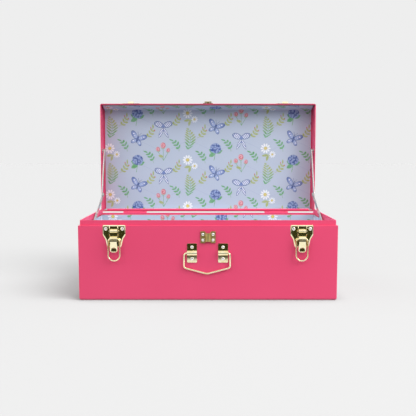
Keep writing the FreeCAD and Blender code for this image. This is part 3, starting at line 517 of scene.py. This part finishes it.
def drive(node, body, head, blank, outward):
    """Rivets at the corners of a node's box, seated where the frame's own rivets sit."""
    low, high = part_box(node)
    radius = head / 1000
    flat = [axis for axis in range(3) if abs(outward[axis]) < 0.5]
    seat = max(range(3), key=lambda axis: abs(outward[axis]))
    tip = high if outward[seat] > 0 else low
    holes = []
    for ends in ((low, low), (low, high), (high, low), (high, high)):
        spot = Vector(tip)
        for axis, end in zip(flat, ends):
            room = min(radius, (high[axis] - low[axis]) / 2)
            spot[axis] = end[axis] + room if end is low else end[axis] - room
        spot -= outward * (DOME / 1000)
        if all((spot - other).length > radius for other in holes):
            holes.append(spot)
    mesh = bpy.data.meshes.new(node + "_set")
    mesh.from_pydata(holes, [], [])
    facing = mesh.attributes.new("outward", "FLOAT_VECTOR", "POINT")
    for item in facing.data:
        item.vector = outward
    piece = bpy.data.objects.new(node + "_set", mesh)
    bpy.context.scene.collection.objects.link(piece)
    modifier = piece.modifiers.new("riveting", "NODES")
    modifier.node_group = RIVETING
    values = {"Blank": blank, "Head Radius": radius, "Finish": rivet_steel}
    for item in RIVETING.interface.items_tree:
        if item.name in values:
            modifier[item.identifier] = values[item.name]
    bpy.context.view_layer.update()
    finished = piece.evaluated_get(bpy.context.evaluated_depsgraph_get())
    made = bpy.data.meshes.new_from_object(finished)
    piece.modifiers.clear()
    piece.data = made
    bpy.data.meshes.remove(mesh)
    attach(piece, body)
    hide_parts(node)


PLATE_GRIP, SADDLE_GRIP = 2.0, 2.6
SMALL_HEAD, HANDLE_HEAD, LATCH_HEAD = 2.7, 2.9, 3.0
plate_blank = rivet_blank(PLATE_GRIP)
saddle_blank = rivet_blank(SADDLE_GRIP)
lid_front, lid_back = LID_TURN @ OUT_FRONT, LID_TURN @ OUT_BACK
drive("saddle_body_rivets", "trunk", SMALL_HEAD, saddle_blank, OUT_FRONT)
drive("saddle_lid_rivets", "lid", SMALL_HEAD, saddle_blank, lid_front)
drive("handle_rivets", "trunk", HANDLE_HEAD, plate_blank, OUT_FRONT)
for side in SIDES:
    drive("latch_%s_rivets" % side, "trunk", LATCH_HEAD, plate_blank, OUT_FRONT)
    drive("keeper_%s_rivets" % side, "lid", LATCH_HEAD, plate_blank, lid_front)
    drive("hinge_%s_body_rivets" % side, "trunk", SMALL_HEAD, plate_blank, OUT_BACK)
    drive("hinge_%s_lid_rivets" % side, "lid", SMALL_HEAD, plate_blank, lid_back)
for blank in (plate_blank, saddle_blank):
    bpy.data.objects.remove(blank)


# Brass pieces: latch plates, levers, loops and pins, keepers, padlock saddles and the handle.
# Pressed and bent from brass-plated steel and polished bright; the saddles are left satin, and
# their brass is a darker copy of it, as painted shade.

BRASS = (0.97, 0.90, 0.62, 1.0)
BRASS_WARM = (0.91, 0.80, 0.46, 1.0)
# The saddles' colours are the same brass made darker: painted shade for how dim the saddles look.
SATIN_SHADED = (0.58, 0.47, 0.19, 1.0)
SATIN_SHADED_WARM = (0.44, 0.34, 0.11, 1.0)
BRASS_EASE = 0.3


def brass_finish(name, bright, warm, polish, ripple):
    """Brass plate with faint warm clouds, a polish that varies and a slight roll of its surface."""
    material, place, shader = new_finish(name, Metallic=1.0)
    clouds = place.speckle(9.0, detail=3.0).ramp(0.35, 0.75)
    clouds.blend(bright, warm).into(shader.inputs["Base Color"])
    grain = place.speckle(0.5, detail=3.0)
    grain.ramp(*NOISE_SPAN, polish, polish * 1.6).into(shader.inputs["Roughness"])
    roll = place.speckle(7.0, detail=1.0)
    bumped(roll, eased(place, BRASS_EASE), ripple, 0.5).into(shader.inputs["Normal"])
    return material


gilt = ["handle_bail"]
for side in SIDES:
    gilt += ["latch_%s_%s" % (side, part) for part in ("plate", "lever", "loop", "pin")]
    gilt += ["keeper_" + side, "handle_bracket_" + side]
cover(brass_finish("polished_brass", BRASS, BRASS_WARM, polish=0.055, ripple=0.03), gilt)
# Satin polish on the saddles, with the darker brass colours that paint their shade.
cover(brass_finish("satin_brass", SATIN_SHADED, SATIN_SHADED_WARM, polish=0.27, ripple=0.05),
      ["saddle_body", "saddle_lid"])


# Stays: two flat bars at each end, zinc-plated and rolled, so fine lines run along each bar.
# The studs and the elbow rivets are the same metal.

ZINC = colour(236, 236, 231)
ZINC_DULL = colour(198, 199, 194)
ZINC_ROUGHNESS = (0.2, 0.34)
ZINC_EASE = 0.25


def strip_finish(name, tilt):
    """Rolled zinc with its lines along a bar that leans by some degrees in the end's plane."""
    material, place, shader = new_finish(name, Metallic=1.0)
    along = place.node("ShaderNodeMapping", {}, {"Vector": place, "Scale": (1, 0.03, 1),
                                                 "Rotation": (math.radians(-tilt), 0, 0)})
    lines = along.speckle(0.6, detail=3.0)
    tone = lines * 0.6 + place.speckle(8.0) * 0.4
    tone.blend(ZINC, ZINC_DULL).into(shader.inputs["Base Color"])
    lines.ramp(0.25, 0.75, *ZINC_ROUGHNESS).into(shader.inputs["Roughness"])
    bumped(lines, eased(place, ZINC_EASE), 0.01, 0.4).into(shader.inputs["Normal"])
    return material


def slope(pivot, spot):
    """The lean of the line from a joint's pivot to a spot, in degrees from the level."""
    start = next(joint["pos_m"] for joint in frame["joints"] if joint["name"] == pivot)
    return math.degrees(math.atan2(spot[2] - start[2], spot[1] - start[1]))


low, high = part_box("stay_left_elbow_rivet")
elbow = (low + high) / 2
upper_zinc = strip_finish("zinc_upper_bar", slope("stay_left_upper_pivot", elbow))
lower_zinc = strip_finish("zinc_lower_bar", slope("stay_left_lower_pivot", elbow))
for side in SIDES:
    bar = "stay_%s_" % side
    cover(upper_zinc, [bar + part for part in ("upper", "lid_stud", "elbow_rivet")])
    cover(lower_zinc, [bar + part for part in ("lower", "body_stud")])


# Studio: a pale floor under broad soft boxes to the right, to the left, in front and overhead.
# Dark cards, one lying and one standing in front and a small one over the raised lid, show in
# polished metal alone. One lamp casts the shadow on the floor, and one lights the part's side;
# close under the part the floor's glow is darkened by a painted contact shadow.

BACKDROP = 0.855
MIRRORED = 1.0
MIRRORED_ASIDE = 0.35
ASIDE = (0.45, 0.8)
BOUNCE = 0.39
FLOOR_GLOW = 0.362
FLOOR_TONE = 0.084
FLOOR_REACH = 15.0
FLOOR_LEVEL = -0.0003
CONTACT_REACH = 0.03
CONTACT_SHADE = 0.7


def board(name, *corners):
    """A flat stage board through four corners."""
    mesh = bpy.data.meshes.new(name)
    mesh.from_pydata(corners, [], [(0, 1, 2, 3)])
    item = bpy.data.objects.new(name, mesh)
    bpy.context.scene.collection.objects.link(item)
    return item


def sight(tree):
    """Whether a ray comes from the camera, and whether it is one that shows the backdrop."""
    camera_ray = Tone(tree).node("ShaderNodeLightPath", out="Is Camera Ray")
    passed = camera_ray.twin("Is Transmission Ray")
    return camera_ray, camera_ray.twin("Is Glossy Ray").math("MAXIMUM", passed)


floor = board("floor", *[(x * FLOOR_REACH, y * FLOOR_REACH, FLOOR_LEVEL)
                         for x, y in ((-1, -1), (1, -1), (1, 1), (-1, 1))])
pale = bpy.data.materials.new("pale_floor")
pale.use_nodes = True
camera_ray, mirrored = sight(pale.node_tree)
# Painted contact shadow: the floor's glow is darkened where ambient occlusion finds the part close
# by.
contact_painted_shade = camera_ray.node("ShaderNodeAmbientOcclusion", {"samples": 8},
                       {"Distance": CONTACT_REACH}, "AO")
glow = contact_painted_shade.ramp(0.5, 1.0, CONTACT_SHADE, 1.0) * FLOOR_GLOW
glow = camera_ray.node("ShaderNodeEmission", {}, {"Strength": glow})
shade = camera_ray.node("ShaderNodeBsdfDiffuse", {}, {"Color": (FLOOR_TONE,) * 3 + (1.0,)})
seen = camera_ray.node("ShaderNodeAddShader", {}, {0: glow, 1: shade})
spot = camera_ray.node("ShaderNodeNewGeometry", out="Position")
across = spot.node("ShaderNodeSeparateXYZ", {}, {0: spot})
mirror_glow = abs(across).ramp(*ASIDE, MIRRORED, MIRRORED_ASIDE)
lit = mirrored * (mirror_glow - BOUNCE) + BOUNCE
lit = camera_ray.node("ShaderNodeEmission", {}, {"Strength": lit})
surface = camera_ray.node("ShaderNodeMixShader", {}, {0: camera_ray, 1: lit, 2: seen})
surface.into(pale.node_tree.nodes["Material Output"].inputs["Surface"])
floor.data.materials.append(pale)

DARK = (0.02, 0.021, 0.006, 1.0)
CARDS = {
    "lying_card": (0.45, (-1.7, 0.0005), (-0.515, 0.0005)),
    "standing_card": (0.45, (-1.7, 0.0005), (-1.7, 0.65)),
    "small_card": (0.06, (-0.02, 0.375), (0.14, 0.445)),
}
dark, place, shader = new_finish("dark_card", Roughness=1.0, Specular_IOR_Level=0.0)
shader.inputs["Base Color"].default_value = DARK
for name, (half, first, last) in CARDS.items():
    card = board(name, (-half, *first), (half, *first), (half, *last), (-half, *last))
    card.data.materials.append(dark)
    card.visible_camera = False
    card.visible_diffuse = False
    card.visible_shadow = False

RIGHT_BOX, LEFT_BOX, TOP_BOX, FRONT_BOX = 3.5, 4.1, 1.7, 1.5
SIDE_FOOT, RIGHT_CREST, LEFT_CREST = (0.22, 0.30), (0.97, 0.91), (0.81, 0.73)
FRONT_FOOT, FRONT_CREST, TOP_FOOT = (0.15, 0.35), (0.92, 0.84), (0.92, 0.96)
QUARTER_EDGE = 0.06
SKY_SHOWN = 0.92
SHINE = 0.15


def quarter(ahead, aside):
    """The quarter of the sky round one side, soft where it ends."""
    return (ahead - abs(aside)).ramp(-QUARTER_EDGE, QUARTER_EDGE)


world = bpy.data.worlds.new("studio")
bpy.context.scene.world = world
world.use_nodes = True
camera_ray, mirrored = sight(world.node_tree)
way = camera_ray.node("ShaderNodeTexCoord", out="Generated")
way = way.node("ShaderNodeSeparateXYZ", {}, {0: way})
x, y, z = [way.twin(axis) for axis in "XYZ"]
boxes = quarter(x, y) * z.ramp(*SIDE_FOOT) * z.ramp(*RIGHT_CREST) * RIGHT_BOX
boxes = boxes + quarter(-x, y) * z.ramp(*SIDE_FOOT) * z.ramp(*LEFT_CREST) * LEFT_BOX
boxes = boxes + z.ramp(*TOP_FOOT) * TOP_BOX
boxes = boxes + quarter(-y, x) * z.ramp(*FRONT_FOOT) * z.ramp(*FRONT_CREST) * FRONT_BOX
even = mirrored * (SKY_SHOWN - boxes * (1 - SHINE)) + boxes
strength = camera_ray * (BACKDROP - even) + even
sky = world.node_tree.nodes["Background"]
sky.inputs["Color"].default_value = (1, 1, 1, 1)
strength.into(sky.inputs["Strength"])

SHADOW_LAMP = 16.5
SHADOW_FROM = Vector((0.53, -0.29, 0.80))
SHADOW_SPREAD = math.radians(44)
SIDE_LAMP = 5.5
SIDE_LAMP_SIZE = 0.5
SIDE_LAMP_PLACE = Vector((1.0, -0.6, 0.8))
SIDE_LAMP_FROM = Vector((0.9, -0.5, 0.7))


def hang(light, out):
    """Add a lamp that shines from a direction."""
    item = bpy.data.objects.new(light.name, light)
    item.rotation_euler = out.to_track_quat("Z", "Y").to_euler()
    bpy.context.scene.collection.objects.link(item)
    return item


lamp = bpy.data.lights.new("shadow_lamp", "SUN")
lamp.energy = SHADOW_LAMP
lamp.angle = SHADOW_SPREAD
ground = bpy.data.collections.new("shadow_ground")
ground.objects.link(floor)
hang(lamp, SHADOW_FROM).light_linking.receiver_collection = ground

lamp = bpy.data.lights.new("side_lamp", "AREA")
lamp.energy = SIDE_LAMP
lamp.size = SIDE_LAMP_SIZE
hang(lamp, SIDE_LAMP_FROM).location = SIDE_LAMP_PLACE


# Camera: a normal lens a metre in front, above the body's rim and dipped by a few degrees, so
# that the front, the raised lid's inside and a strip of the body's lining are in sight.

LENS, SENSOR_WIDTH = 50.64, 36.0
CAMERA_PLACE = (0, -1.1145, 0.2532)
CAMERA_DIP = 5.216
NEAREST = 0.01
lens = bpy.data.cameras.new("camera")
lens.sensor_width = SENSOR_WIDTH
lens.lens = LENS
lens.clip_start = NEAREST
camera = bpy.data.objects.new("camera", lens)
camera.location = CAMERA_PLACE
camera.rotation_euler = (math.radians(90 - CAMERA_DIP), 0, 0)
bpy.context.scene.collection.objects.link(camera)
bpy.context.scene.camera = camera
bpy.context.scene.view_settings.view_transform = "Standard"
